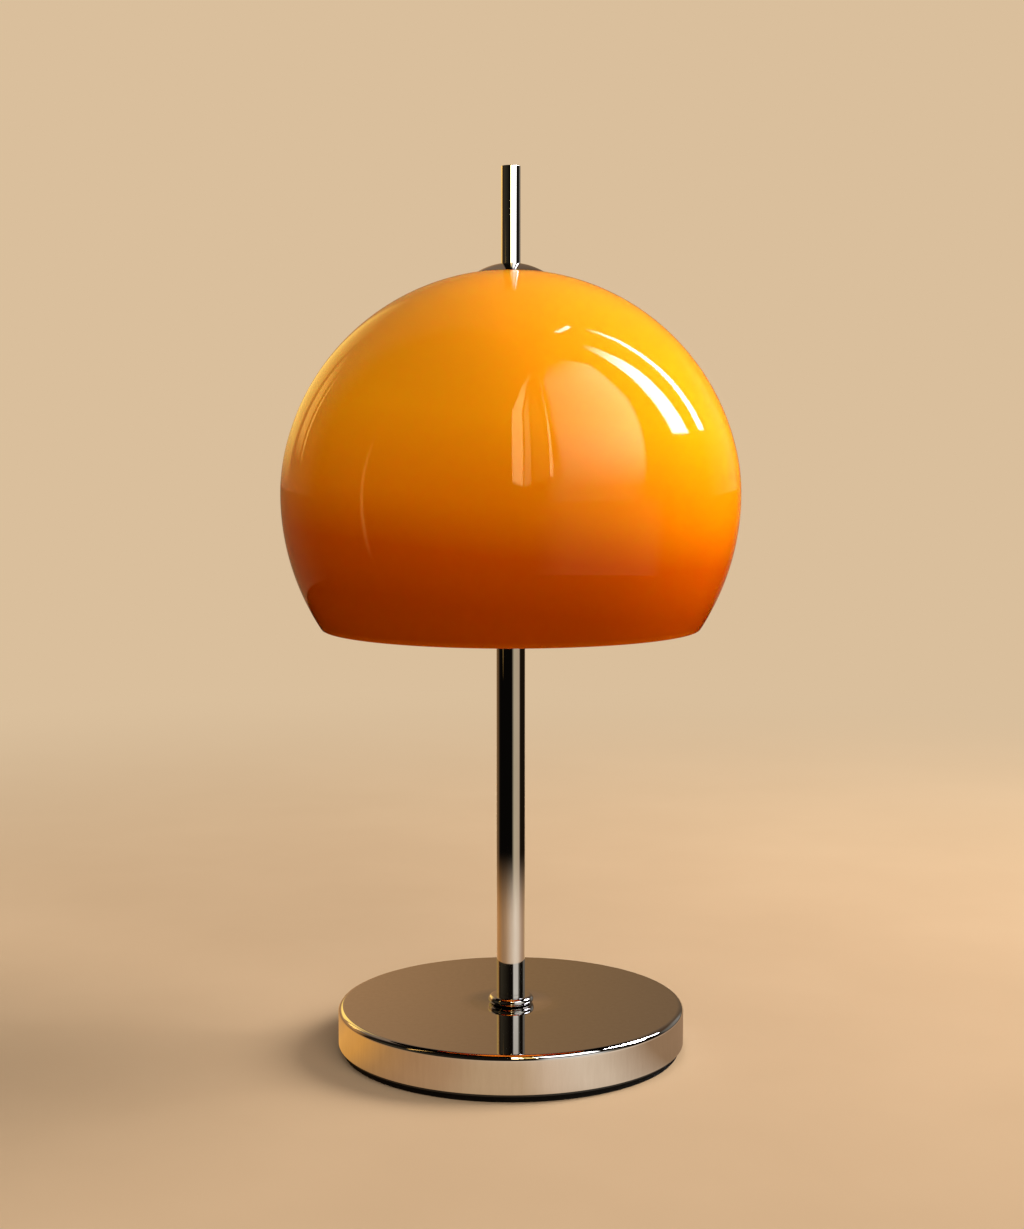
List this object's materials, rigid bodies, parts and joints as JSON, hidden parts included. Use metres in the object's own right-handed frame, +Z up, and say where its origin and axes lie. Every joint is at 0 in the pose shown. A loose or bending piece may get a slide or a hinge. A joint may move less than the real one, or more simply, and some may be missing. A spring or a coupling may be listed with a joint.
{
  "type": "mushroom table lamp",
  "caption": "Table lamp with a round open-bottomed glossy shade, a weighted disc base and a telescoping stem raised by the rod above the shade.",
  "frame": {"origin": "middle of the base's underside, on the table", "axes": "+Z up along the stem, +Y to the back (cable outlet), +X to the right seen from the front"},
  "size_m": [0.255, 0.255, 0.4948],
  "materials": {
    "chrome_plate": "bright chromium plate, polished",
    "orange_acrylic": "glossy translucent orange, moulded",
    "black_felt": "pressed black felt",
    "black_paint": "satin black enamel",
    "zinc_steel": "zinc-plated steel",
    "grey_iron": "as cast, dark primer",
    "black_rubber": "moulded rubber",
    "white_nylon": "natural nylon, turned and moulded",
    "ivory_moulding": "moulded terminal block",
    "cable_sheath": "PVC sheath",
    "cast_zinc": "die-cast, tumbled",
    "black_phenolic": "moulded phenolic",
    "white_steatite": "fired ceramic insert",
    "lamp_cap_metal": "pressed lamp cap",
    "opal_glass": "frosted white lamp glass",
    "turned_brass": "turned brass"
  },
  "bodies": {
    "base": {"base_cover": "chrome_plate", "collar_ring": "chrome_plate", "stem_tube": "chrome_plate", "foot_pad": "black_felt", "base_plate": "black_paint", "base_screws": "zinc_steel", "nipple_washer": "zinc_steel", "nipple_nut": "zinc_steel", "base_nipple": "zinc_steel", "stem_foot_plug": "zinc_steel", "base_weight": "grey_iron", "cable_grommet": "black_rubber", "stem_bush": "white_nylon", "terminal_block": "ivory_moulding", "base_cable": "cable_sheath"},
    "head": {"sliding_rod": "chrome_plate", "rod_plug": "chrome_plate", "slider": "white_nylon", "slider_spring": "zinc_steel", "cluster_hub": "cast_zinc", "cluster_lid": "cast_zinc", "arm_nipples": "zinc_steel", "holder_caps": "black_phenolic", "holder_inserts": "white_steatite", "holder_skirts": "black_phenolic", "lamp_caps": "lamp_cap_metal", "lamp_globes": "opal_glass", "shade": "orange_acrylic", "shade_carrier": "turned_brass", "shade_gasket": "black_rubber", "cap_gasket": "black_rubber", "cap": "chrome_plate", "grub_screws": "zinc_steel", "rod_cable": "cable_sheath", "arm_leads": "cable_sheath"}
  },
  "joints": [
    {"name": "stem_slide", "type": "slide", "parent": "base", "child": "head", "axis": [0, 0, 1], "range_m": [0, 0.155]}
  ]
}
